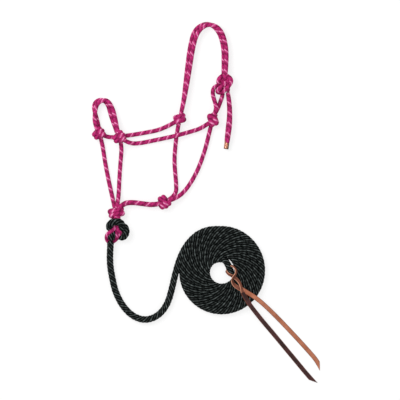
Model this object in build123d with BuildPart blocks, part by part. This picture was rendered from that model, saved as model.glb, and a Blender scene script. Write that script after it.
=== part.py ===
"""A rope halter for a horse, laid flat, with its lead rope coiled beside it and a leather popper on the lead.

One cord is folded double and tied into the headpiece: noseband, cheeks, chin, throat and crown run between its
knots. The crown is tied to the eye above the near cheek knot by a sheet bend. Millimetres. +Z is up and the surface
is Z = 0. +Y runs from the chin to the poll, and the origin is under the middle of the headpiece.
"""
from build123d import *
import os
from math import cos, pi, radians, sin, tan

# Cord, rope and leather
cord = 8.0  # halter cord
tie_cord = 7.4  # halter cord where the tie draws it thin
rope = 14.0  # lead rope
hitch_rope = 13.4  # lead rope where the hitch draws it thin
leather = 2.0  # thickness of the popper's leather
tan_width = 9.5  # width of the popper's tan tail
dark_width = 9.5  # width of its dark tail
gap = 0.3  # running clearance between pieces that only lie on each other
free_bend = 0.45  # the part of a run that a bend takes at each end, where a cord runs free

# Knots
knot_height = 21.0  # how high a halter knot stands
knot_swing = 0.46  # how far a knot's cord swings in and out, as a share of its ring
knot_tightness = 4.4  # a knot's width over the thickness that its cord is drawn down to
knot_bend = 0.49  # the part of a short run that a bend takes at each end, in a knot
knot_share = 0.97  # how much of a closed knot the cord in it makes: its strands run in at the rest
knot_points = 24  # along a knot's cord
knot_seat = 8.5  # how far from a knot's middle its strands begin
outer_seat = 11.5  # the same, where other strands crowd them
nose_knot_width = 25.5
cheek_knot_width = 26.5
throat_knot_width = 28.0
fiador_knot_width = 27.0
fiador_knot_length = 35.5

# Heights of the cord's centre
on_floor = cord / 2
over_cord = on_floor + cord + gap
beside_cord = on_floor + 0.87 * cord  # lying half beside, half on top of its twin
noseband_lift = 0.6  # how much higher the noseband's upper strand lies than that
knot_middle = knot_height / 2
raised_middle = knot_middle + cord + gap

# Middles of the knots
near_nose = Vector(-90, -11, raised_middle)
far_nose = Vector(-133, -3, knot_middle)
near_cheek = Vector(107, 26, knot_middle)
far_cheek = Vector(37, 28, knot_middle)
fiador = Vector(-96, -169, knot_middle)
throat = Vector(4, -147, knot_middle)
tie = Vector(130, 100, knot_middle)

# Ferrule on the crown tail
ferrule_length = 19.5
ferrule_width = 10.4
ferrule_height = 13.6
ferrule_wall = 0.7
ferrule_rim = 1.5  # radius of its closed end's edge

# Coil of the lead
coil_middle = Vector(126, -290)
coil_turns = 5
coil_hole = 20.5  # radius of the hole in its middle
coil_web = 8.0  # how thick the coil is between two turns

# Popper
popper_pivot = Vector(149, -309)
lace = 4.0  # thickness of the rounded lace through the rope's end
twist_width = 8.0
twist_pitch = 12.0
twist_points = 8  # along each turn of the twist
tail_drop_start = 80.0  # from the pivot: the tails lie on the coil up to here
tail_drop_end = 140.0  # from the pivot: the tails lie on the surface from here
tail_bend = 60.0  # radius of the tails' bends on the way down

# Hinges
lead_pivot = Vector(-108, -228, 16.0)
tail_pivot = Vector(138, 84, over_cord)


def bend_radii(points, share):
    """A radius for each corner of a route, which takes a share of the shorter of its two runs."""
    radii = []
    for before, corner, after in zip(points, points[1:], points[2:]):
        arriving = corner - before
        leaving = after - corner
        shorter = min(arriving.length, leaving.length)
        half_turn = radians(arriving.get_angle(leaving)) / 2
        radii.append(share * shorter / tan(half_turn))
    return radii


def lay(points, diameter, share=free_bend):
    """Sweeps a round cord along a route, into the part that is being built."""
    route = [Vector(*point) for point in points]
    with BuildLine() as path:
        FilletPolyline(*route, radius=bend_radii(route, share))
    with BuildSketch(Plane(origin=path.line @ 0, z_dir=path.line % 0)) as section:
        Circle(diameter / 2)
    sweep(sections=section.sketch, path=path.line)


def out_of(knot, toward, rise=0.0, seat=knot_seat):
    """Where a strand that heads for the point toward begins inside a knot."""
    heading = Vector(toward[0] - knot.X, toward[1] - knot.Y, 0).normalized()
    return knot + heading * seat + Vector(0, 0, rise)


def finish(name, label):
    name.part.label = label
    export_step(name.part, f"parts/{label}.step")


def strand(label, points, diameter=cord, share=free_bend):
    """One length of cord, written as a piece of its own."""
    with BuildPart() as piece:
        lay(points, diameter, share)
    finish(piece, label)
    route = [Vector(*point) for point in points]
    print(label, "radii", [round(radius) for radius in bend_radii(route, share)])


def knot(label, middle, width, length, turned, hand=1):
    """A trefoil drawn tight: the cord goes twice round, in and out, and three times over and under itself.

    width and length are its sides in plan, turned is the direction of its length and hand is 1 or -1.
    """
    thickness = width / knot_tightness
    ring_width = (width - thickness) / 2 / (1 + knot_swing)
    ring_length = (length - thickness) / 2 / (1 + knot_swing)
    rise = (knot_height - thickness) / 2
    plan = Plane(origin=middle, x_dir=(cos(radians(turned)), sin(radians(turned)), 0), z_dir=(0, 0, 1))
    points = []
    for step in range(knot_points + 1):
        angle = 4 * pi * knot_share * step / knot_points - hand * pi / 3
        weave = 1.5 * angle
        reach = 1 + knot_swing * cos(weave)
        place = Vector(
            ring_length * reach * cos(angle),
            ring_width * reach * sin(angle),
            rise * hand * sin(weave),
        )
        points.append(plan.from_local_coords(place))
    strand(label, points, thickness, knot_bend)


os.makedirs("parts", exist_ok=True)

# Knots of the headpiece
knot("near_nose_knot", near_nose, nose_knot_width, nose_knot_width, 50)
knot("far_nose_knot", far_nose, nose_knot_width, nose_knot_width, 90, -1)
knot("near_cheek_knot", near_cheek, cheek_knot_width, cheek_knot_width, 0)
knot("far_cheek_knot", far_cheek, cheek_knot_width, cheek_knot_width, 30)
knot("throat_knot", throat, throat_knot_width, throat_knot_width, 20, -1)
knot("fiador_knot", fiador, fiador_knot_width, fiador_knot_length, 90)

# Noseband: the cord goes over the nose twice, and the two strands cross near the far knot and at the top
strand(
    "noseband_under_strand",
    [
        out_of(far_nose, (-132, 12), -4.2),
        (-134, 17, on_floor),
        (-139, 34, on_floor),
        (-143.5, 54, on_floor),
        (-137.5, 66, on_floor),
        (-125, 70, on_floor),
        (-113.5, 59, on_floor),
        (-107.5, 35, on_floor),
        (-101, 17, 8),
        out_of(near_nose, (-97, 3), -4.2),
    ],
)
strand(
    "noseband_over_strand",
    [
        out_of(far_nose, (-139, 12), 4.2),
        (-142, 21, over_cord),
        (-141, 40, over_cord),
        (-137, 57, over_cord),
        (-129, 67.5, over_cord),
        (-114.5, 68, over_cord),
        (-104, 51, beside_cord + noseband_lift),
        (-98.5, 31, beside_cord + noseband_lift),
        (-95.5, 14, over_cord + on_floor),
        out_of(near_nose, (-93, 3), 4.2),
    ],
)

# Cheeks: the far strand passes under the near nose knot, the near one passes over the far throat strand
strand(
    "far_cheek_strand",
    [
        out_of(far_nose, (-105, -10), -3),
        (-112, -11.5, on_floor),
        (-78, -9, on_floor),
        (-38, -3, on_floor),
        (3, 6, on_floor),
        out_of(far_cheek, (17, 12), -4),
    ],
)
strand(
    "near_cheek_strand",
    [
        out_of(near_nose, (-78, -18), 4.2),
        (-70, -23.5, 15),
        (-50, -24.5, on_floor),
        (-18, -18, on_floor + 0.5),
        (6, -13, on_floor + 2),
        (24, -9, over_cord + 0.5),
        (38, -5.5, over_cord + 0.3),
        (58, 0, on_floor + 1),
        (84, 8, on_floor + 2),
        out_of(near_cheek, (92, 13), 4.2),
    ],
)

# Chin: two strands from the nose knots down to the fiador knot
strand(
    "far_chin_strand",
    [
        out_of(far_nose, (-126.5, -16), -3),
        (-125, -26, on_floor),
        (-119.5, -64, on_floor),
        (-112, -102, on_floor),
        (-103.5, -140, on_floor),
        out_of(fiador, (-103, -150), -4.2, outer_seat),
    ],
)
strand(
    "near_chin_strand",
    [
        out_of(near_nose, (-86, -22), -4.4),
        (-84.5, -34, 10),
        (-86.5, -56, on_floor),
        (-89.5, -97, on_floor),
        (-91, -136, on_floor + 1),
        out_of(fiador, (-94, -150), 4.4, outer_seat),
    ],
)

# Throat: two strands from the cheek knots, which meet at the throat knot
strand(
    "far_throat_strand",
    [
        out_of(far_cheek, (34, 10), 1),
        (32.5, 5, on_floor),
        (28.5, -24, on_floor),
        (25.5, -62, on_floor),
        (29.5, -103, on_floor),
        (30.5, -131, on_floor),
        out_of(throat, (18, -140.5), -4.2),
    ],
)
strand(
    "near_throat_strand",
    [
        out_of(near_cheek, (102, 12), -4.4),
        (99.5, -1, on_floor),
        (89.5, -42, on_floor),
        (72.5, -87, on_floor),
        (48.5, -125, on_floor + 1),
        (27.5, -140.5, over_cord + gap),
        out_of(throat, (20, -143), 4.2),
    ],
)

# Jaw: the same two strands go on, one nearly on the other, from the throat knot to the fiador knot
strand(
    "jaw_under_strand",
    [
        out_of(throat, (-12, -154), -4.2),
        (-18, -154.5, on_floor),
        (-40, -151.5, on_floor),
        (-63.5, -149, on_floor),
        (-80.5, -153, on_floor),
        out_of(fiador, (-84, -158), -4.2),
    ],
)
strand(
    "jaw_over_strand",
    [
        out_of(throat, (-12, -152), 4.4),
        (-20, -152.5, over_cord),
        (-42, -149.5, over_cord),
        (-65, -147, over_cord),
        (-79.5, -151.5, over_cord),
        out_of(fiador, (-80, -157), 4.4),
    ],
)

# Crown: two strands from the far cheek knot over the poll to the tie, crossing at the top
strand(
    "crown_under_strand",
    [
        out_of(far_cheek, (41, 42), -4.2),
        (44, 57, on_floor),
        (48, 90, on_floor),
        (52, 128, on_floor),
        (58.5, 180, on_floor),
        (68.5, 217, on_floor),
        (96, 232, on_floor),
        (118.5, 214, on_floor),
        (129.5, 180, on_floor),
        (129.5, 140, on_floor),
        out_of(tie, (129, 114), -4.2),
    ],
)
strand(
    "crown_over_strand",
    [
        out_of(far_cheek, (41, 42), 4.4),
        (44.5, 57, over_cord),
        (51.5, 92, beside_cord + 1),
        (58, 130, beside_cord),
        (65.5, 179, beside_cord),
        (75, 212, beside_cord + 1),
        (98, 230, over_cord),
        (124, 217, beside_cord + 1),
        (135.5, 181, beside_cord),
        (135.5, 140, beside_cord),
        out_of(tie, (134, 114), 4.4),
    ],
)

# Eye: the loop above the near cheek knot that the crown is tied to
strand(
    "eye_loop",
    [
        out_of(near_cheek, (109, 40), 4.2),
        (114.5, 47, over_cord),
        (112, 61, over_cord),
        (106.5, 77, on_floor + 3),
        (107, 90.5, on_floor + 3),
        (115.5, 98.5, on_floor + 3),
        (127, 92, on_floor + 1),
        (127.5, 77, on_floor),
        (121, 59, on_floor),
        (115.5, 45, on_floor),
        out_of(near_cheek, (109, 40), -4.2),
    ],
)

# Sheet bend: the doubled crown goes round behind the eye and back across its own front
tie_routes = [
    [
        (134.5, 118, 13),
        (128, 119.5, 13.5),
        (121, 115.5, 15.5),
        (116.8, 108, 15),
        (118.5, 101, 10),
        (126, 95, 6.5),
        (134, 93, 7),
    ],
    [
        (134, 120, 13.5),
        (138.5, 116.5, 15.5),
        (143.5, 112, 16.5),
        (143.5, 105.5, 16.5),
        (139, 98.5, 17),
        (128.5, 89, 17),
        (119, 84, 12),
    ],
    [
        (142.5, 113, 11),
        (139, 107.5, 16.5),
        (129.5, 100, 19),
        (118.5, 91.5, 17),
        (113.5, 90.5, 8),
    ],
    [
        (131, 108, 6),
        (137, 100, 7),
        (139, 93, 9),
        tail_pivot + Vector(0, 7, -2).normalized() * (cord / 2 + gap),
    ],
]
with BuildPart() as tie_knot:
    for route in tie_routes:
        lay(route, tie_cord)
finish(tie_knot, "tie_knot")

# Crown tail: both strands hang on beyond the tie and are melted together in the ferrule
tail_strand_routes = {
    "tail_under_strand": [
        tail_pivot - Vector(0, 0, over_cord - on_floor),
        (140.5, 66, on_floor),
        (140.5, 36, on_floor),
        (138.5, 6, on_floor),
        (135.5, -24, on_floor + 0.8),
    ],
    "tail_over_strand": [
        tail_pivot,
        (143, 64, over_cord - 0.4),
        (144.5, 36, over_cord - 0.8),
        (142, 6, over_cord - 0.8),
        (137, -24, over_cord - 3),
    ],
}
for label, route in tail_strand_routes.items():
    with BuildPart() as piece:
        lay(route, cord)
        with Locations(Location(Vector(*route[0]))):
            Sphere(cord / 2)
    finish(piece, label)

tail_heading = Vector(-2.6, -19.5, 0).normalized()
ferrule_mouth = Vector(136.9, -18, ferrule_height / 2)
with BuildPart() as tail_ferrule:
    with BuildSketch(Plane(origin=ferrule_mouth, x_dir=(0, 0, 1), z_dir=tail_heading)):
        Ellipse(ferrule_height / 2, ferrule_width / 2)
    extrude(amount=ferrule_length)
    fillet(tail_ferrule.faces().sort_by(Axis.Y)[0].edges(), ferrule_rim)
    with BuildSketch(Plane(origin=ferrule_mouth, x_dir=(0, 0, 1), z_dir=tail_heading)):
        Ellipse(ferrule_height / 2 - ferrule_wall, ferrule_width / 2 - ferrule_wall)
    extrude(amount=ferrule_length - 2 * ferrule_wall, mode=Mode.SUBTRACT)
finish(tail_ferrule, "tail_ferrule")

# Heel loop: the cord's bight below the fiador knot, which goes round the back of the lead rope
strand(
    "heel_loop",
    [
        (-97, -176, 16),
        (-98.5, -189, 18),
        (-100, -199, 19.5),
        (-107, -208, 19.5),
        (-115, -216, 13),
        (-116.5, -225, 6),
        (-108, -231.5, on_floor),
        (-99, -226.5, on_floor + 1),
        (-92.5, -218, 13),
        (-90.5, -206, 19.5),
        (-92, -196, 19.5),
        (-92.5, -186, 18),
        (-91, -176, 16),
    ],
)

# Hitch: the lead comes up through the heel loop, goes round behind both its legs and back under itself
with BuildPart() as lead_hitch:
    lay(
        [
            lead_pivot + Vector(2, 7, 0).normalized() * (rope / 2 + gap),
            (-102.5, -210, 12.5),
            (-96, -202.5, 7.2),
            (-90, -211, 6.7),
            (-86, -223, 7),
            (-77.5, -220.5, 10.5),
            (-74, -208.5, 14.5),
            (-76, -196.5, 19),
            (-84.5, -188.5, 25.5),
            (-96.5, -186, 29),
            (-108, -190, 27.5),
            (-114.5, -200, 19),
            (-108, -206.5, 9.5),
        ],
        hitch_rope,
    )
finish(lead_hitch, "lead_hitch")

# Lead rope: from the hitch down to the surface and round to the coil
lead_low = rope / 2
lead_route = [
    lead_pivot,
    (-108.5, -244, 14),
    (-109.5, -263, lead_low + 1),
    (-108.5, -284, lead_low),
    (-104.5, -306, lead_low),
    (-98, -336, lead_low),
    (-82, -366, lead_low),
    (-59, -389, lead_low),
    (-32, -396, lead_low),
    (-6, -384, lead_low),
    (12, -360, lead_low),
    (20, -331, lead_low),
    (27.5, -298, lead_low),
    (37, -266, lead_low),
    (51, -238.5, lead_low),
    (70.5, -217, lead_low),
    (91.5, -206.5, lead_low),
    (111, -203.5, lead_low),
    (129, -205.5, lead_low),
]
with BuildPart() as lead_rope:
    lay(lead_route, rope)
    with Locations(Location(lead_pivot)):
        Sphere(rope / 2)
finish(lead_rope, "lead_rope")
lead_points = [Vector(*point) for point in lead_route]
print("lead_rope radii", [round(radius) for radius in bend_radii(lead_points, free_bend)])
print("lead_rope length", round(lead_rope.part.volume / (pi * rope**2 / 4)))

# Coil: turns of the lead wound flat, side by side
coil_axis = Axis((coil_middle.X, coil_middle.Y, 0), (0, 0, 1))
with BuildPart() as lead_coil:
    with BuildSketch(Plane(origin=coil_axis.position, x_dir=(1, 0, 0), z_dir=(0, -1, 0))):
        for turn in range(coil_turns):
            with Locations((coil_hole + (turn + 0.5) * rope, rope / 2)):
                Circle(rope / 2)
        with Locations((coil_hole + coil_turns * rope / 2, rope / 2)):
            Rectangle((coil_turns - 1) * rope, coil_web)
    revolve(axis=coil_axis)
finish(lead_coil, "lead_coil")

# Popper: a lace through the end of the lead, twisted and left as two tails
on_coil = rope + gap
strand(
    "popper_lace",
    [
        (149, -305, on_coil + 3),
        (155.5, -300, on_coil + 3),
        (156, -292, on_coil + 3),
        (149, -285, on_coil + 1),
        (140, -286, on_coil - 3),
        (136, -294, on_coil),
        (139, -301, on_coil + 3),
        (145, -304, on_coil + 3),
    ],
    lace,
)

twist_heading = Vector(16, -21, 0)
with BuildPart() as popper_twist:
    reach = (twist_width - lace) / 2
    side = Vector(-twist_heading.Y, twist_heading.X, 0).normalized()
    steps = round(twist_heading.length / twist_pitch * twist_points)
    for phase in (0, pi):
        route = []
        for step in range(steps + 1):
            angle = phase + 2 * pi * step / twist_points
            middle = popper_pivot + twist_heading * (step / steps) + Vector(0, 0, on_coil + twist_width / 2)
            route.append(middle + side * (reach * cos(angle)) + Vector(0, 0, reach * sin(angle)))
        lay(route, lace)
finish(popper_twist, "popper_twist")


def popper_tail(label, start, middle, end, width):
    """A leather tail: an arc in plan, level on the coil at first, then sloping down to lie on the surface."""
    heading = Vector(end[0] - popper_pivot.X, end[1] - popper_pivot.Y, 0)
    with BuildPart() as tail:
        with BuildSketch():
            with BuildLine():
                ThreePointArc(start, middle, end)
            trace(line_width=width)
        extrude(amount=2 * rope)
        side_view = Plane(origin=popper_pivot, x_dir=heading, z_dir=heading.cross(Vector(0, 0, 1)))
        with BuildSketch(side_view):
            with BuildLine():
                for rise in (0, leather):
                    FilletPolyline(
                        (0, on_coil + rise),
                        (tail_drop_start, on_coil + rise),
                        (tail_drop_end, rise),
                        (2 * heading.length, rise),
                        radius=tail_bend,
                    )
                Line((0, on_coil), (0, on_coil + leather))
                Line((2 * heading.length, 0), (2 * heading.length, leather))
            make_face()
        extrude(amount=10 * width, both=True, mode=Mode.INTERSECT)
    finish(tail, label)
    return tail


popper_tail("popper_tan_tail", (167.5, -325.5), (254, -400), (334, -498), tan_width)
popper_tail("popper_dark_tail", (159.5, -331.5), (233, -424.5), (325, -531), dark_width)
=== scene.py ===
"""The looks of a rope halter that lies flat, with its lead rope coiled beside it and a leather popper on it.

Every cord is a mesh swept along a smooth line through its route, with the relief of its braid or lay in the
mesh. Metres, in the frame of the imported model: +Z is up and the surface is Z = 0. The view is from straight
above.
"""
from math import ceil, cos, pi, radians, sin

import bpy
import numpy as np
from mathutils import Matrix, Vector


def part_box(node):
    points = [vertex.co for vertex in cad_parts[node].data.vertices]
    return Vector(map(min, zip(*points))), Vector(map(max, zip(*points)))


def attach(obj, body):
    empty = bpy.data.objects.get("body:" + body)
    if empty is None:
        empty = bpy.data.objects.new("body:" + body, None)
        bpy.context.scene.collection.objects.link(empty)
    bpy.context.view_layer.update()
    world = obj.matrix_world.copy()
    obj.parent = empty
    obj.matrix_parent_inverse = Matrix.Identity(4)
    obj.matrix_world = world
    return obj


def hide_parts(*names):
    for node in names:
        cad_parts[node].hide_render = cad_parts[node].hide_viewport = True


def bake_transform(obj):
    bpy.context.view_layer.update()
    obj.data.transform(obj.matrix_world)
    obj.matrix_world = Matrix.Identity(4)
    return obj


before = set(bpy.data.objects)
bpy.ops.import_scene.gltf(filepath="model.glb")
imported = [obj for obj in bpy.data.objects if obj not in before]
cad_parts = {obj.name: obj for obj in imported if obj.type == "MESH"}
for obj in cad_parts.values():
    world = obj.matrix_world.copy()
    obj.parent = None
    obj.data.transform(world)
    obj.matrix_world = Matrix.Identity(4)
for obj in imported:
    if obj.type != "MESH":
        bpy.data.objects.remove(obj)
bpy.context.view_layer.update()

# Cord, rope and leather
cord = 0.008
yarn_top = 0.0089  # halter cord, over its yarns
pressed_cord = 0.009  # halter cord where the sheet bend or the hitch presses it wide
rope = 0.014
hitch_rope = 0.0152  # lead rope where the hitch presses it wide
leather = 0.002
strap_width = 0.0095
tip_length = 0.017  # of a strap's slanting cut

# Heights
gap = 0.0003
on_floor = 0.0046  # middle of a cord that lies on the surface
over_cord = on_floor + cord + gap
beside_cord = on_floor + 0.87 * cord
knot_height = 0.021
knot_middle = knot_height / 2
raised_middle = knot_middle + cord + gap
rope_low = rope / 2
on_coil = rope + gap

# Knots
knot_seat = 0.0085  # how far from the middle of a knot its strands begin
near_nose = Vector((-0.090, -0.011, raised_middle))
far_nose = Vector((-0.133, -0.003, knot_middle))
near_cheek = Vector((0.107, 0.026, knot_middle))
far_cheek = Vector((0.037, 0.028, knot_middle))
fiador = Vector((-0.096, -0.169, knot_middle))
throat = Vector((0.004, -0.147, knot_middle))
tie = Vector((0.130, 0.100, knot_middle))

# Braid and lay
end_round = 0.4  # how much of its diameter a cord's round end takes
cord_step = 0.0004  # between two rings of a cord's mesh
cord_sides = 48
knot_points = 240  # along the line of a knot
cord_carriers = 8  # of the braid, turning each way
cord_lay = 0.021  # for one turn of a carrier
cord_relief = 0.0004
rope_step = 0.0013
rope_sides = 54
rope_strands = 6
rope_lay = 0.042
yarn_lay = 0.009  # of the fine yarns in each of its strands
rope_relief = 0.0015
strap_step = 0.0012
strap_sides = 28


# ---------------------------------------------------------------- lines and meshes


def out_of(knot, toward, rise):
    """Where a strand that heads for the point toward begins inside a knot, and how far above its middle."""
    heading = Vector((toward[0] - knot.x, toward[1] - knot.y, 0)).normalized()
    return knot + heading * knot_seat + Vector((0, 0, rise))


def spline_line(route):
    """Points along the smooth line that a cord takes, whose control points are its route."""
    curve = bpy.data.curves.new("line", "CURVE")
    curve.dimensions = "3D"
    curve.resolution_u = 32
    spline = curve.splines.new("NURBS")
    spline.points.add(len(route) - 1)
    for point, place in zip(spline.points, route):
        point.co = (*place, 1)
    spline.order_u = 3
    spline.use_endpoint_u = True
    carrier = bpy.data.objects.new("line", curve)
    mesh = bpy.data.meshes.new_from_object(carrier)
    line = np.array([vertex.co for vertex in mesh.vertices])
    bpy.data.objects.remove(carrier)
    bpy.data.curves.remove(curve)
    bpy.data.meshes.remove(mesh)
    return line


def evenly(line, step):
    """Distances along a line and its points there, a step apart."""
    runs = np.linalg.norm(np.diff(line, axis=0), axis=1)
    along = np.concatenate([[0], np.cumsum(runs)])
    at = np.linspace(0, along[-1], max(4, ceil(along[-1] / step)))
    return at, np.column_stack([np.interp(at, along, line[:, axis]) for axis in range(3)])


def directions_across(points):
    """Two directions across a line at each of its points, carried along it without twisting."""
    headings = np.gradient(points, axis=0)
    headings /= np.linalg.norm(headings, axis=1)[:, None]
    normals = np.empty_like(headings)
    normal = np.array((0.0, 0.0, 1.0))
    for place, heading in enumerate(headings):
        normal = normal - heading * (normal @ heading)
        normal /= np.linalg.norm(normal)
        normals[place] = normal
    return normals, np.cross(headings, normals)


def skin(name, grid, paints):
    """A mesh from rings of points, grid[ring][side], with a number from paints at each point."""
    rings, sides = grid.shape[:2]
    index = np.arange(rings * sides).reshape(rings, sides)
    here, ahead = index[:-1], index[1:]
    quads = np.stack([here, np.roll(here, -1, 1), np.roll(ahead, -1, 1), ahead], axis=-1).reshape(-1, 4)
    faces = quads.tolist() + [index[0, ::-1].tolist(), index[-1].tolist()]
    mesh = bpy.data.meshes.new(name)
    mesh.from_pydata(grid.reshape(-1, 3).tolist(), [], faces)
    for paint, values in paints.items():
        attribute = mesh.attributes.new(paint, "FLOAT", "POINT")
        attribute.data.foreach_set("value", np.ascontiguousarray(values, np.float32).ravel())
    mesh.shade_smooth()
    return mesh


def rounded(at, reach):
    """How much of its full radius a cord has at each place, with round ends that take a length of reach."""
    ends = np.clip(np.minimum(at, at[-1] - at) / reach, 0.004, 1)  # never quite a point
    return np.sqrt(1 - (1 - ends) ** 2)


def tube(name, line, diameter, weave, step, sides):
    """A cord's mesh along a line. weave gives its relief and its paints."""
    at, centres = evenly(line, step)
    normals, across = directions_across(centres)
    angle = np.linspace(0, 2 * pi, sides, endpoint=False)[None, :]
    depth, paints = weave(at[:, None], angle, at[-1])
    reach = (diameter / 2 - depth) * rounded(at, diameter * end_round)[:, None]
    grid = centres[:, None] + reach[..., None] * (
        normals[:, None] * np.cos(angle)[..., None] + across[:, None] * np.sin(angle)[..., None]
    )
    return skin(name, grid, paints)


def joined(name, meshes, body, node, bend=()):
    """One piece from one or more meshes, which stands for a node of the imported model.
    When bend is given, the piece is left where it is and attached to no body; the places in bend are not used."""
    pieces = []
    for mesh in meshes:
        piece = bpy.data.objects.new(name, mesh)
        bpy.context.scene.collection.objects.link(piece)
        pieces.append(piece)
    whole = pieces[0]
    if len(pieces) > 1:
        with bpy.context.temp_override(active_object=whole, selected_editable_objects=pieces):
            bpy.ops.object.join()
    whole.name = name
    whole.data.name = name
    if bend:
        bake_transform(whole)
    else:
        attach(whole, body)
    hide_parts(node)
    return whole


# ---------------------------------------------------------------- weaves


def braid(at, angle, length):
    """The halter cord's braid: each carrier goes over two that turn the other way, then under two."""
    lays = max(1, round(length / cord_lay))
    turn = angle / (2 * pi)
    left = cord_carriers * (turn + at * lays / length)
    right = cord_carriers * (turn - at * lays / length)
    left_yarn = np.floor(left)
    right_yarn = np.floor(right)
    order = (left_yarn + right_yarn) % 4
    left_on_top = order < 2
    across = np.where(left_on_top, left - left_yarn, right - right_yarn)
    float_place = np.where(left_on_top, order + right - right_yarn, order - 2 + left - left_yarn) / 2
    height = np.sin(pi * across) ** 0.6 * (0.55 + 0.45 * np.sin(pi * float_place) ** 0.5)
    shown = np.where(left_on_top, 1.0, 0.55)  # a coloured carrier still shows through where it dips under
    tracer = np.clip(1.5 - 1.6 * np.abs(left % cord_carriers - 0.5), 0, 1) * shown
    dark = 0.85 * np.clip(1.4 - 1.3 * np.abs(left % cord_carriers - 3.5), 0, 1) * shown
    dark = np.maximum(dark, 0.5 * (~left_on_top & (right_yarn % 4 < 1)))
    paints = {"height": height, "tracer": tracer, "dark": dark}
    return cord_relief * (0.6 - height), paints


def rope_twist(at, angle, length):
    """The lead rope's strands: thick ridges that wind round it, each made of finer yarns."""
    turn = angle / (2 * pi)
    winding = rope_strands * (turn + at / rope_lay)
    place = winding % 1
    ridge = np.sin(pi * place) ** 0.75
    crossing = 0.5 + 0.5 * np.cos(2 * pi * (rope_strands / 2 * (turn - at / rope_lay)))
    yarns = 0.5 + 0.5 * np.cos(2 * pi * (place * 4 + at / yarn_lay))
    heavy = np.where(np.floor(winding) % 2 == 0, 1.0, 0.88)  # every other strand stands a little lower
    height = heavy * ridge * (0.88 + 0.12 * crossing) - 0.08 * yarns * ridge
    return rope_relief * (0.75 - height), {"height": height}


# ---------------------------------------------------------------- materials


def material(name, roughness, specular, metallic=0.0):
    """A new material with its shader, and a short way to add and link nodes."""
    paint = bpy.data.materials.new(name)
    paint.use_nodes = True
    nodes = paint.node_tree.nodes
    shader = nodes["Principled BSDF"]
    shader.inputs["Roughness"].default_value = roughness
    shader.inputs["Specular IOR Level"].default_value = specular
    shader.inputs["Metallic"].default_value = metallic
    return paint, nodes, paint.node_tree.links, shader


def attribute_node(nodes, name):
    node = nodes.new("ShaderNodeAttribute")
    node.attribute_name = name
    return node.outputs["Fac"]


def mixed(nodes, links, amount, first, second):
    """A mix of two colours. Each is a colour or a socket, and amount is a number or a socket."""
    node = nodes.new("ShaderNodeMix")
    node.data_type = "RGBA"
    for socket, value in zip((node.inputs[0], node.inputs[6], node.inputs[7]), (amount, first, second)):
        if isinstance(value, bpy.types.NodeSocket):
            links.new(value, socket)
        else:
            socket.default_value = value if isinstance(value, float) else (*value, 1)
    return node.outputs[2]


def noise(nodes, scale, detail=3.0, roughness=0.6):
    node = nodes.new("ShaderNodeTexNoise")
    node.inputs["Scale"].default_value = scale
    node.inputs["Detail"].default_value = detail
    node.inputs["Roughness"].default_value = roughness
    place = nodes.new("ShaderNodeNewGeometry")
    node.id_data.links.new(place.outputs["Position"], node.inputs["Vector"])
    return node.outputs["Fac"]


def ranged(nodes, links, value, low, high, to_low, to_high):
    node = nodes.new("ShaderNodeMapRange")
    for name, number in (("From Min", low), ("From Max", high), ("To Min", to_low), ("To Max", to_high)):
        node.inputs[name].default_value = number
    links.new(value, node.inputs["Value"])
    return node.outputs["Result"]


def bumped(nodes, links, shader, height, strength, distance):
    node = nodes.new("ShaderNodeBump")
    node.inputs["Strength"].default_value = strength
    node.inputs["Distance"].default_value = distance
    links.new(height, node.inputs["Height"])
    links.new(node.outputs["Normal"], shader.inputs["Normal"])


def linear(red, green, blue):
    """A colour from its display values, 0 to 255."""
    def channel(value):
        value /= 255
        return value / 12.92 if value <= 0.04045 else ((value + 0.055) / 1.055) ** 2.4

    return channel(red), channel(green), channel(blue)


def cord_material():
    """Braided polyester: magenta, with a pale tracer and a few darker yarns, and painted shade in the low
    places of its braid.
    """
    paint, nodes, links, shader = material("halter_cord", 0.6, 0.12)
    patches = ranged(nodes, links, noise(nodes, 220), 0.35, 0.65, 0.0, 1.0)
    base = mixed(nodes, links, patches, linear(158, 22, 88), linear(200, 46, 122))
    base = mixed(nodes, links, attribute_node(nodes, "dark"), base, linear(96, 4, 52))
    base = mixed(nodes, links, attribute_node(nodes, "tracer"), base, linear(246, 150, 198))
    # painted shade: the low places between the yarns are darkened towards deep magenta
    valley_shade = ranged(nodes, links, attribute_node(nodes, "height"), 0.0, 0.7, 0.7, 0.0)
    base = mixed(nodes, links, valley_shade, base, linear(88, 2, 44))
    links.new(base, shader.inputs["Base Color"])
    bumped(nodes, links, shader, noise(nodes, 4200, 2.0), 0.35, 0.0002)
    return paint


def rope_material():
    """Black rope, with a painted grey highlight, in patches, where its strands stand up."""
    paint, nodes, links, shader = material("lead_rope", 0.55, 0.06)
    # painted highlight: grey on the tops of the strands, taken from their height
    ridge_highlight = ranged(nodes, links, attribute_node(nodes, "height"), 0.66, 0.98, 0.0, 1.0)
    patches = ranged(nodes, links, noise(nodes, 160), 0.35, 0.7, 0.2, 1.0)
    amount = nodes.new("ShaderNodeMath")
    amount.operation = "MULTIPLY"
    links.new(ridge_highlight, amount.inputs[0])
    links.new(patches, amount.inputs[1])
    base = mixed(nodes, links, amount.outputs[0], linear(2, 4, 4), linear(122, 132, 130))
    links.new(base, shader.inputs["Base Color"])
    bumped(nodes, links, shader, noise(nodes, 2600, 3.0), 0.5, 0.0003)
    return paint


def leather_material(name, low, high, edge):
    """Strap leather: mottled, with fine grain and burnished, paler cut edges."""
    paint, nodes, links, shader = material(name, 0.5, 0.3)
    patches = ranged(nodes, links, noise(nodes, 45, 4.0), 0.35, 0.65, 0.0, 1.0)
    base = mixed(nodes, links, patches, low, high)
    base = mixed(nodes, links, attribute_node(nodes, "edge"), base, edge)
    links.new(base, shader.inputs["Base Color"])
    bumped(nodes, links, shader, noise(nodes, 1800, 4.0), 0.3, 0.0003)
    return paint


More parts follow.
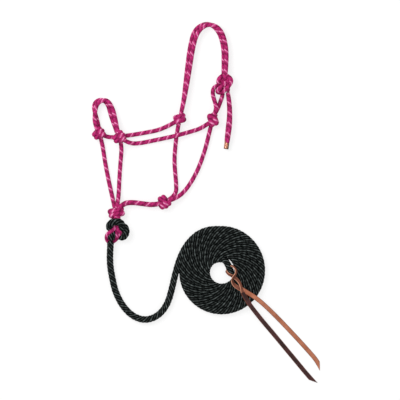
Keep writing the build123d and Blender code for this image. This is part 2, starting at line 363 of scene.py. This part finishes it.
def ferrule_material():
    """Bright copper-coloured brass, with brown tarnish on its crimped rim and painted shade in the same brown
    down one flank.
    """
    paint, nodes, links, shader = material("ferrule", 0.34, 0.5, metallic=1.0)
    patches = ranged(nodes, links, noise(nodes, 300, 4.0), 0.4, 0.7, 0.0, 0.35)
    base = mixed(nodes, links, patches, linear(214, 150, 122), linear(176, 110, 84))
    # brown tarnish at the rim, the mouth and the crimps, and painted shade down the flank towards +X
    base = mixed(nodes, links, attribute_node(nodes, "patina_and_shade"), base, linear(74, 46, 34))
    links.new(base, shader.inputs["Base Color"])
    bumped(nodes, links, shader, noise(nodes, 900, 4.0), 0.15, 0.0002)
    return paint


finishes = {
    "halter_cord": cord_material(),
    "lead_rope": rope_material(),
    "tan_leather": leather_material(
        "tan_leather", linear(158, 90, 62), linear(190, 120, 90), linear(92, 48, 32)
    ),
    "lace_leather": leather_material(
        "lace_leather", linear(96, 50, 36), linear(136, 78, 58), linear(214, 152, 122)
    ),
    "dark_leather": leather_material(
        "dark_leather", linear(30, 6, 4), linear(72, 32, 30), linear(120, 66, 48)
    ),
    "ferrule": ferrule_material(),
}


def dressed(piece, finish):
    piece.data.materials.clear()
    piece.data.materials.append(finishes[finish])
    return piece


# ---------------------------------------------------------------- halter


def halter_cord(name, routes, body="halter", diameter=yarn_top):
    """One or more stretches of the halter's cord that make one piece."""
    meshes = [tube(name, spline_line(route), diameter, braid, cord_step, cord_sides) for route in routes]
    return dressed(joined(name + "_braid", meshes, body, name), "halter_cord")


strand_routes = {
    # Noseband: the cord goes over the nose twice, and the two strands cross near the far knot and at the top
    "noseband_under_strand": [
        out_of(far_nose, (-0.132, 0.012), -0.0042),
        (-0.134, 0.017, on_floor),
        (-0.139, 0.034, on_floor),
        (-0.144, 0.054, on_floor),
        (-0.1375, 0.0655, on_floor),
        (-0.125, 0.0685, on_floor),
        (-0.1135, 0.059, on_floor),
        (-0.1075, 0.035, on_floor),
        (-0.101, 0.017, 0.008),
        out_of(near_nose, (-0.097, 0.003), -0.0042),
    ],
    "noseband_over_strand": [
        out_of(far_nose, (-0.139, 0.012), 0.0042),
        (-0.142, 0.021, over_cord),
        (-0.141, 0.04, over_cord),
        (-0.1375, 0.057, over_cord),
        (-0.129, 0.0655, over_cord),
        (-0.1145, 0.0675, over_cord),
        (-0.104, 0.051, beside_cord),
        (-0.0985, 0.031, beside_cord),
        (-0.0955, 0.014, over_cord + 0.004),
        out_of(near_nose, (-0.093, 0.003), 0.0042),
    ],
    # Cheeks: the far strand passes under the near nose knot, the near one over the far throat strand
    "far_cheek_strand": [
        out_of(far_nose, (-0.105, -0.01), -0.003),
        (-0.116, -0.0125, on_floor),
        (-0.078, -0.0085, on_floor),
        (-0.038, -0.0022, on_floor),
        (0.003, 0.006, on_floor),
        out_of(far_cheek, (0.017, 0.012), -0.004),
    ],
    "near_cheek_strand": [
        out_of(near_nose, (-0.078, -0.018), 0.0042),
        (-0.07, -0.0235, 0.015),
        (-0.05, -0.0245, on_floor),
        (-0.018, -0.018, on_floor + 0.0005),
        (0.006, -0.013, on_floor + 0.002),
        (0.024, -0.009, over_cord + 0.0005),
        (0.038, -0.0055, over_cord + 0.0003),
        (0.058, 0, on_floor + 0.001),
        (0.084, 0.008, on_floor + 0.002),
        out_of(near_cheek, (0.092, 0.013), 0.0042),
    ],
    # Chin: two strands from the nose knots down to the fiador knot
    "far_chin_strand": [
        out_of(far_nose, (-0.1265, -0.016), -0.003),
        (-0.125, -0.026, on_floor),
        (-0.1195, -0.064, on_floor),
        (-0.112, -0.102, on_floor),
        (-0.1035, -0.14, on_floor),
        out_of(fiador, (-0.103, -0.15), -0.0042),
    ],
    "near_chin_strand": [
        out_of(near_nose, (-0.086, -0.022), -0.0044),
        (-0.0845, -0.034, 0.01),
        (-0.0865, -0.056, on_floor),
        (-0.0895, -0.097, on_floor),
        (-0.091, -0.136, on_floor + 0.001),
        out_of(fiador, (-0.093, -0.15), 0.0044),
    ],
    # Throat: two strands from the cheek knots, which meet at the throat knot
    "far_throat_strand": [
        out_of(far_cheek, (0.034, 0.01), 0.001),
        (0.0325, 0.005, on_floor),
        (0.0285, -0.024, on_floor),
        (0.0255, -0.062, on_floor),
        (0.0295, -0.103, on_floor),
        (0.0305, -0.133, on_floor),
        out_of(throat, (0.018, -0.141), -0.0042),
    ],
    "near_throat_strand": [
        out_of(near_cheek, (0.102, 0.012), -0.0044),
        (0.0995, -0.001, on_floor),
        (0.0895, -0.042, on_floor),
        (0.0725, -0.087, on_floor),
        (0.0485, -0.125, on_floor + 0.001),
        (0.0275, -0.1405, over_cord),
        out_of(throat, (0.02, -0.143), 0.0042),
    ],
    # Jaw: the same two strands go on, one nearly on the other, from the throat knot to the fiador knot
    "jaw_under_strand": [
        out_of(throat, (-0.012, -0.154), -0.0042),
        (-0.018, -0.1545, on_floor),
        (-0.04, -0.1515, on_floor),
        (-0.0635, -0.1485, on_floor),
        (-0.0815, -0.1515, on_floor),
        out_of(fiador, (-0.086, -0.156), -0.0042),
    ],
    "jaw_over_strand": [
        out_of(throat, (-0.012, -0.152), 0.0044),
        (-0.02, -0.1525, over_cord),
        (-0.042, -0.1495, over_cord),
        (-0.065, -0.1465, over_cord),
        (-0.0825, -0.1495, over_cord),
        out_of(fiador, (-0.086, -0.153), 0.0044),
    ],
    # Crown: two strands from the far cheek knot over the poll to the tie, crossing at the top
    "crown_under_strand": [
        out_of(far_cheek, (0.041, 0.042), -0.0042),
        (0.044, 0.057, on_floor),
        (0.048, 0.09, on_floor),
        (0.052, 0.128, on_floor),
        (0.0585, 0.18, on_floor),
        (0.0685, 0.217, on_floor),
        (0.096, 0.2303, on_floor),
        (0.1185, 0.214, on_floor),
        (0.1295, 0.18, on_floor),
        (0.1295, 0.14, on_floor),
        out_of(tie, (0.129, 0.114), -0.0042),
    ],
    "crown_over_strand": [
        out_of(far_cheek, (0.041, 0.042), 0.0044),
        (0.0445, 0.057, over_cord),
        (0.0515, 0.092, beside_cord + 0.001),
        (0.058, 0.13, beside_cord),
        (0.0655, 0.179, beside_cord),
        (0.075, 0.212, beside_cord + 0.001),
        (0.098, 0.2285, over_cord),
        (0.124, 0.217, beside_cord + 0.001),
        (0.1355, 0.181, beside_cord),
        (0.1355, 0.14, beside_cord),
        out_of(tie, (0.134, 0.114), 0.0044),
    ],
    # Eye: the loop above the near cheek knot that the crown is tied to
    "eye_loop": [
        out_of(near_cheek, (0.109, 0.04), 0.0042),
        (0.1145, 0.047, over_cord),
        (0.112, 0.061, over_cord),
        (0.1065, 0.077, on_floor + 0.003),
        (0.107, 0.0905, on_floor + 0.003),
        (0.1155, 0.0985, on_floor + 0.003),
        (0.127, 0.092, on_floor + 0.001),
        (0.1275, 0.077, on_floor),
        (0.121, 0.059, on_floor),
        (0.1155, 0.045, on_floor),
        out_of(near_cheek, (0.109, 0.04), -0.0042),
    ],
}
for name, route in strand_routes.items():
    halter_cord(name, [route])

# Heel loop: the cord's bight below the fiador knot, which goes round the back of the lead rope
heel_loop = [
    (-0.097, -0.176, 0.016),
    (-0.0975, -0.189, 0.018),
    (-0.099, -0.2, 0.0195),
    (-0.106, -0.2085, 0.0195),
    (-0.1155, -0.215, 0.014),
    (-0.1165, -0.2265, 0.007),
    (-0.108, -0.2335, on_floor),
    (-0.099, -0.2275, on_floor + 0.001),
    (-0.0945, -0.218, 0.013),
    (-0.093, -0.206, 0.0195),
    (-0.0925, -0.196, 0.0195),
    (-0.0925, -0.186, 0.018),
    (-0.091, -0.176, 0.016),
]
heel_twin = [  # the loop's near leg lies double where the hitch grips it
    (-0.0885, -0.188, 0.0165),
    (-0.0875, -0.2, 0.0175),
    (-0.0875, -0.2095, 0.0165),
    (-0.0915, -0.2185, 0.012),
    (-0.0975, -0.2265, 0.007),
    (-0.103, -0.2305, 0.0045),
]
halter_cord("heel_loop", [heel_loop, heel_twin], diameter=pressed_cord)


def knot_line(middle, band_angle, width, length, thickness, turns, hand):
    """The line of a cord that winds round a level axis, drawn tight into a ball. Its bands cross the top of the
    knot in the direction band_angle. width is along the bands, length is across them, and hand is 1 or -1."""
    share = np.linspace(0, 1, knot_points)
    angle = 2 * pi * turns * share - pi / 2
    heading = Vector((cos(radians(band_angle)), sin(radians(band_angle)), 0))
    axis = Vector((-heading.y, heading.x, 0))
    shift = (share - 0.5) * (length - thickness) * hand
    fullness = 1 - 0.3 * (2 * share - 1) ** 2  # the outer turns are smaller than the middle one
    return (
        np.array(middle)[None, :]
        + shift[:, None] * np.array(axis)[None, :]
        + ((width - thickness) / 2 * fullness * np.cos(angle))[:, None] * np.array(heading)[None, :]
        + ((knot_height - thickness) / 2 * fullness * np.sin(angle))[:, None] * np.array((0, 0, 1))[None, :]
    )


knots = {
    # middle, direction of the bands, width along them, length across them, thickness, turns, hand
    "near_nose_knot": (near_nose, 29, 0.0295, 0.0285, 0.0102, 2.5, 1),
    "far_nose_knot": (far_nose, 37, 0.0285, 0.0285, 0.0102, 2.5, 1),
    "near_cheek_knot": (near_cheek, -60, 0.0305, 0.0295, 0.0122, 2, 1),
    "far_cheek_knot": (far_cheek, 2, 0.0285, 0.0275, 0.0118, 2, -1),
    "throat_knot": (throat, -62, 0.0305, 0.0295, 0.0102, 2.5, 1),
    "fiador_knot": (fiador, 2, 0.0370, 0.0285, 0.0116, 2, -1),
}
for name, (middle, angle, width, length, thickness, turns, hand) in knots.items():
    line = knot_line(middle, angle, width, length, thickness, turns, hand)
    mesh = tube(name, line, thickness, braid, cord_step, cord_sides)
    dressed(joined(name + "_braid", [mesh], "halter", name), "halter_cord")

# Sheet bend: the doubled crown goes round behind the eye and back across its own front
tie_routes = [
    [
        (0.129, 0.1195, 0.009),
        (0.124, 0.116, 0.0145),
        (0.119, 0.111, 0.0165),
        (0.118, 0.104, 0.0145),
        (0.121, 0.098, 0.009),
        (0.127, 0.093, 0.005),
    ],
    [
        (0.1275, 0.12, 0.008),
        (0.1255, 0.114, 0.012),
        (0.1245, 0.107, 0.012),
        (0.127, 0.101, 0.009),
    ],
    [
        (0.131, 0.122, 0.0115),
        (0.1308, 0.114, 0.0155),
        (0.1308, 0.106, 0.0145),
        (0.132, 0.094, 0.0125),
    ],
    [
        (0.1335, 0.12, 0.0115),
        (0.1395, 0.1165, 0.0165),
        (0.1445, 0.1115, 0.0175),
        (0.1455, 0.105, 0.0175),
        (0.1415, 0.0985, 0.0195),
        (0.135, 0.091, 0.0205),
        (0.1275, 0.0835, 0.0165),
        (0.1215, 0.0815, 0.006),
    ],
    [
        (0.142, 0.1115, 0.0085),
        (0.1395, 0.1075, 0.0175),
        (0.129, 0.0985, 0.0225),
        (0.1185, 0.09, 0.0205),
        (0.1155, 0.083, 0.0125),
        (0.122, 0.0825, 0.006),
    ],
    [
        (0.131, 0.108, 0.0055),
        (0.137, 0.1, 0.0065),
        (0.1385, 0.091, 0.009),
        (0.138, 0.084, over_cord),
    ],
]
halter_cord("tie_knot", tie_routes, diameter=pressed_cord)

# ---------------------------------------------------------------- crown tail and its ferrule

tail_routes = {
    "tail_under_strand": [
        (0.138, 0.084, on_floor),
        (0.1405, 0.066, on_floor),
        (0.1415, 0.036, on_floor),
        (0.1378, 0.006, on_floor),
        (0.1353, -0.024, on_floor + 0.0008),
    ],
    "tail_over_strand": [
        (0.138, 0.084, over_cord),
        (0.1418, 0.064, over_cord),
        (0.1435, 0.036, over_cord),
        (0.1425, 0.006, over_cord - 0.0008),
        (0.1368, -0.024, over_cord - 0.003),
    ],
}
tails = {name: halter_cord(name, [route], "crown_tail") for name, route in tail_routes.items()}


def ferrule():
    """An oval crimped tube: rolled mouth, two shallow crimps and a turned-in rim round the melted cord."""
    low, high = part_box("tail_ferrule")
    heading = Vector((-0.0026, -0.0195, 0)).normalized()
    side = Vector((-heading.y, heading.x, 0))
    mouth = Vector((0.1369, -0.018, (low.z + high.z) / 2))
    half_width, half_height = 0.0052, (high.z - low.z) / 2
    profile_scale = 0.93
    profile = [
        # along the tube before profile_scale, share of the full size, patina
        (0.0150, 0.52, 1.0), (0.0188, 0.55, 1.0), (0.0194, 0.66, 0.9), (0.0195, 0.80, 0.85),
        (0.0192, 0.91, 0.8), (0.0186, 0.97, 0.7), (0.0176, 1.0, 0.35), (0.0160, 1.0, 0.1),
        (0.0145, 0.985, 0.0), (0.0136, 0.955, 0.15), (0.0127, 0.985, 0.0), (0.0100, 1.0, 0.0),
        (0.0073, 0.985, 0.0), (0.0064, 0.955, 0.15), (0.0055, 0.985, 0.0), (0.0030, 1.0, 0.0),
        (0.0010, 1.0, 0.0), (0.0003, 0.985, 0.1), (0.0, 0.95, 0.2), (0.0004, 0.90, 0.6), (0.0040, 0.88, 1.0),
    ]
    angles = np.linspace(0, 2 * pi, 64, endpoint=False)
    grid = np.empty((len(profile), 64, 3))
    patina_and_shade = np.empty((len(profile), 64))
    for ring, (along, share, brown) in enumerate(profile):
        for place, angle in enumerate(angles):
            point = mouth + heading * along * profile_scale + side * (half_width * share * cos(angle))
            grid[ring, place] = point + Vector((0, 0, half_height * share * sin(angle)))
            # painted shade: the flank on the +X side of the tube is browner all along its length
            flank_shade = max(0.0, cos(angle) - 0.2) / 0.5
            patina_and_shade[ring, place] = min(1.0, brown + 0.85 * flank_shade)
    mesh = skin("tail_ferrule", grid[::-1], {"patina_and_shade": patina_and_shade[::-1]})
    return dressed(joined("ferrule_tube", [mesh], "crown_tail", "tail_ferrule"), "ferrule")


ferrule_piece = ferrule()
for name, far_end, carried in (
    ("tail_over_strand", "fitting", [ferrule_piece]),
    ("tail_under_strand", "object", []),
):
    tail_line = spline_line(tail_routes[name])

# ---------------------------------------------------------------- lead rope

lead_route = [
    (-0.108, -0.228, 0.016),
    (-0.1085, -0.244, 0.014),
    (-0.1095, -0.263, rope_low + 0.001),
    (-0.1085, -0.284, rope_low),
    (-0.1045, -0.306, rope_low),
    (-0.098, -0.336, rope_low),
    (-0.082, -0.367, rope_low),
    (-0.059, -0.389, rope_low),
    (-0.032, -0.396, rope_low),
    (-0.0055, -0.3845, rope_low),
    (0.012, -0.3605, rope_low),
    (0.0205, -0.331, rope_low),
    (0.0278, -0.298, rope_low),
    (0.037, -0.266, rope_low),
    (0.0508, -0.2385, rope_low),
    (0.0705, -0.217, rope_low),
    (0.0915, -0.2065, rope_low),
    (0.111, -0.2038, rope_low),
]
coil_middle = Vector((0.1232, -0.2928))
coil_radius = 0.0916  # of the rope's route, where the coil begins near its top
coil_pitch = 0.01295  # the turns press into each other a little
coil_turns = 5
points_per_turn = 16
coil_start = 97.7  # degrees: where the lead's last point lies
for step in range(1, coil_turns * points_per_turn):
    turned = step / points_per_turn
    angle = radians(coil_start - 360 * turned)
    radius = coil_radius - coil_pitch * turned
    lead_route.append((coil_middle.x + radius * cos(angle), coil_middle.y + radius * sin(angle), rope_low))
lead_route += [  # its end turns in across the hole
    (0.1235, -0.2662, rope_low),
    (0.1330, -0.2690, rope_low),
    (0.1388, -0.2792, rope_low),
    (0.1441, -0.2918, rope_low),
    (0.1480, -0.3030, rope_low),
]
lead_line = spline_line(lead_route)
lead_mesh = tube("lead_rope", lead_line, rope, rope_twist, rope_step, rope_sides)
lead = dressed(joined("lead_rope_strands", [lead_mesh], "lead", "lead_rope"), "lead_rope")
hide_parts("lead_coil")
hitch_routes = [
    [
        (-0.108, -0.2285, 0.016),
        (-0.1055, -0.219, 0.0155),
        (-0.102, -0.209, 0.0125),
        (-0.0965, -0.2045, 0.0078),
        (-0.0915, -0.2115, 0.0078),
        (-0.0895, -0.2185, 0.0078),
        (-0.083, -0.2215, 0.0105),
        (-0.0763, -0.2155, 0.0145),
        (-0.0752, -0.2055, 0.0165),
        (-0.0795, -0.1975, 0.0155),
        (-0.0885, -0.1975, 0.012),
    ],
    [
        (-0.0875, -0.208, 0.010),
        (-0.0845, -0.2, 0.019),
        (-0.0845, -0.192, 0.0265),
        (-0.093, -0.188, 0.029),
        (-0.105, -0.1895, 0.028),
        (-0.1118, -0.197, 0.021),
        (-0.1085, -0.205, 0.0105),
    ],
]
meshes = [
    tube("lead_hitch", spline_line(route), hitch_rope, rope_twist, rope_step, rope_sides)
    for route in hitch_routes
]
dressed(joined("lead_hitch_strands", meshes, "halter", "lead_hitch"), "lead_rope")

# ---------------------------------------------------------------- popper


def strap(name, stations, tip=0):
    """A leather strap along a line, and the line of its middle as far as the cut tip.
    Each station has its place, the strap's width and its roll in degrees. tip is 1 or -1 where the far end is
    cut slantwise to a point, and says on which side."""
    line = spline_line([station[0] for station in stations])
    at, centres = evenly(line, strap_step)
    headings = np.gradient(centres, axis=0)
    headings /= np.linalg.norm(headings, axis=1)[:, None]
    share = np.linspace(0, 1, len(stations))
    width = np.interp(at / at[-1], share, [station[1] for station in stations])
    roll = np.radians(np.interp(at / at[-1], share, [station[2] for station in stations]))
    level = np.cross(headings, (0, 0, 1))
    level /= np.linalg.norm(level, axis=1)[:, None]
    upright = np.cross(level, headings)
    side = level * np.cos(roll)[:, None] + upright * np.sin(roll)[:, None]
    face = np.cross(side, headings)
    angle = np.linspace(0, 2 * pi, strap_sides, endpoint=False)
    across = np.sign(np.cos(angle)) * np.abs(np.cos(angle)) ** 0.42
    through = np.sign(np.sin(angle)) * np.abs(np.sin(angle)) ** 0.55
    low, high = -width / 2, width / 2
    if tip:
        cut = np.clip((at - (at[-1] - tip_length)) / (tip_length - 0.0002), 0, 1)
        low = np.where(tip > 0, low + cut * width * 0.97, low)
        high = np.where(tip < 0, high - cut * width * 0.97, high)
    middle, half = (low + high) / 2, (high - low) / 2
    thick = np.minimum(leather / 2, half * 0.9)
    grid = (
        centres[:, None]
        + side[:, None] * (middle[:, None] + half[:, None] * across[None, :])[..., None]
        + face[:, None] * (thick[:, None] * through[None, :])[..., None]
    )
    edge = np.clip((np.abs(across) - 0.7) / 0.3, 0, 1)[None, :] + 0 * at[:, None]
    shown = half > 0.35 * width / 2
    return skin(name, grid, {"edge": edge}), (centres + side * middle[:, None])[shown]


on_top = on_coil + leather / 2
lace_stations = [
    ((0.1452, -0.2800, 0.0085), 0.0062, 60),
    ((0.1480, -0.2815, 0.0145), 0.0062, 60),
    ((0.1520, -0.2845, on_top + 0.0028), 0.0062, 60),
    ((0.1562, -0.2900, on_top + 0.0028), 0.0062, 55),
    ((0.1552, -0.2980, on_top + 0.0036), 0.0062, 50),
    ((0.1498, -0.3045, on_top + 0.0046), 0.0062, 45),
    ((0.1470, -0.3105, on_top + 0.0046), 0.0062, 50),
]
lace_under_stations = [
    ((0.1345, -0.2918, 0.0075), 0.0062, -50),
    ((0.1362, -0.2955, 0.0145), 0.0062, -50),
    ((0.1410, -0.2995, on_top + 0.0012), 0.0062, -35),
    ((0.1480, -0.3025, on_top + 0.0004), 0.0066, -15),
    ((0.1545, -0.3070, on_top + 0.0012), 0.0070, 20),
]
tan_twist = [
    ((0.1470, -0.3105, on_top + 0.0046), 0.0062, 50),
    ((0.1478, -0.3165, on_top + 0.0035), 0.0070, 35),
    ((0.1535, -0.3232, on_top + 0.0008), 0.0080, 15),
    ((0.1610, -0.3275, on_top), 0.0088, 0),
    ((0.1690, -0.3312, on_top), 0.0095, 0),
]
dark_twist = [
    ((0.1545, -0.3070, on_top + 0.0012), 0.0070, 20),
    ((0.1602, -0.3122, on_top + 0.0025), 0.0072, 40),
    ((0.1648, -0.3202, on_top + 0.0040), 0.0072, 50),
    ((0.1670, -0.3290, on_top + 0.0042), 0.0075, 50),
    ((0.1695, -0.3370, on_top + 0.0022), 0.0088, 25),
]
tan_tail = [
    ((0.1690, -0.3312, on_top), strap_width, 0),
    ((0.1818, -0.3384, on_top), strap_width, 0),
    ((0.1973, -0.3484, on_top), strap_width, 0),
    ((0.2148, -0.3628, on_top - 0.001), strap_width, 0),
    ((0.2388, -0.3862, 0.0045), strap_width, 0),
    ((0.2570, -0.4050, leather / 2), strap_width, 0),
    ((0.2820, -0.4315, leather / 2), strap_width, 0),
    ((0.3070, -0.4590, leather / 2), strap_width, 0),
    ((0.3262, -0.4812, leather / 2), strap_width, 0),
    ((0.3355, -0.4992, leather / 2), strap_width, 0),
]
dark_tail = [
    ((0.1695, -0.3370, on_top + 0.0022), strap_width, 25),
    ((0.1735, -0.3450, on_top + 0.0010), strap_width, 10),
    ((0.1832, -0.3612, on_top + 0.0005), strap_width, 0),
    ((0.1972, -0.3796, on_top + 0.001), strap_width, 0),
    ((0.2162, -0.4030, 0.0085), strap_width, 0),
    ((0.2342, -0.4240, leather / 2), strap_width, 0),
    ((0.2541, -0.4481, leather / 2), strap_width, 0),
    ((0.2800, -0.4792, leather / 2), strap_width, 0),
    ((0.3066, -0.5115, leather / 2), strap_width, 0),
    ((0.3235, -0.5300, leather / 2), strap_width, 0),
]

twist_bend = ((0.1490, -0.3070, on_top), (0.1680, -0.3320, on_top))
for name, stations, body, node, bend in (
    ("popper_lace_strap", lace_stations, "lead", "popper_lace", ()),
    ("popper_lace_under_strap", lace_under_stations, "lead", "popper_lace", ()),
    ("popper_twist_tan", tan_twist, "popper", "popper_twist", twist_bend),
    ("popper_twist_dark", dark_twist, "popper", "popper_twist", twist_bend),
):
    piece = joined(name, [strap(name, stations)[0]], body, node, bend)
    dressed(piece, "lace_leather")

for name, stations, tip, finish, twist in (
    ("popper_tan_tail", tan_tail, 1, "tan_leather", "popper_twist_tan"),
    ("popper_dark_tail", dark_tail, -1, "dark_leather", "popper_twist_dark"),
):
    mesh, line = strap(name, stations, tip)
    piece = dressed(joined(name + "_strap", [mesh], "popper", name), finish)

# ---------------------------------------------------------------- floor, light and camera


def floor_material():
    """A plain pale floor that the camera sees as white, and that keeps the object's shadow."""
    paint, nodes, links, shader = material("floor", 0.9, 0.0)
    glow = nodes.new("ShaderNodeEmission")
    glow.inputs["Color"].default_value = (1, 1, 1, 1)
    ray = nodes.new("ShaderNodeLightPath")
    seen = mixed(nodes, links, ray.outputs["Is Camera Ray"], (0.86, 0.86, 0.86), (0.27, 0.27, 0.27))
    links.new(seen, shader.inputs["Base Color"])
    lift = nodes.new("ShaderNodeMath")
    lift.operation = "MULTIPLY"
    lift.inputs[1].default_value = 0.75
    links.new(ray.outputs["Is Camera Ray"], lift.inputs[0])
    links.new(lift.outputs[0], glow.inputs["Strength"])
    total = nodes.new("ShaderNodeAddShader")
    links.new(shader.outputs[0], total.inputs[0])
    links.new(glow.outputs[0], total.inputs[1])
    links.new(total.outputs[0], nodes["Material Output"].inputs["Surface"])
    return paint


floor_mesh = bpy.data.meshes.new("floor")
floor_half = 6.0
floor_corners = [(x * floor_half, y * floor_half, 0) for x, y in ((-1, -1), (1, -1), (1, 1), (-1, 1))]
floor_mesh.from_pydata(floor_corners, [], [(0, 1, 2, 3)])
floor_mesh.materials.append(floor_material())
floor = bpy.data.objects.new("floor", floor_mesh)
bpy.context.scene.collection.objects.link(floor)


def studio_world():
    """Even white light from all round, and a background that the camera sees as white."""
    world = bpy.data.worlds.new("studio")
    world.use_nodes = True
    nodes, links = world.node_tree.nodes, world.node_tree.links
    ray = nodes.new("ShaderNodeLightPath")
    strength = ranged(nodes, links, ray.outputs["Is Camera Ray"], 0.0, 1.0, 0.62, 1.0)
    nodes["Background"].inputs["Color"].default_value = (1, 1, 1, 1)
    links.new(strength, nodes["Background"].inputs["Strength"])
    return world


bpy.context.scene.world = studio_world()


def softbox(name, place, target, size, power):
    light = bpy.data.lights.new(name, "AREA")
    light.shape = "SQUARE"
    light.size = size
    light.energy = power
    lamp = bpy.data.objects.new(name, light)
    lamp.location = place
    lamp.rotation_euler = (Vector(target) - Vector(place)).to_track_quat("-Z", "Y").to_euler()
    bpy.context.scene.collection.objects.link(lamp)


view_middle = (0.0798, -0.1428, 0.0)
softbox("key", (-1.0, 0.7, 1.5), view_middle, 1.1, 24)
softbox("fill", (1.2, -0.9, 1.6), view_middle, 1.4, 6)

camera_data = bpy.data.cameras.new("camera")
camera_data.type = "ORTHO"
camera_data.ortho_scale = 0.84
camera = bpy.data.objects.new("camera", camera_data)
camera.location = (view_middle[0], view_middle[1], 2.0)
bpy.context.scene.collection.objects.link(camera)
bpy.context.scene.camera = camera
bpy.context.scene.view_settings.view_transform = "Standard"
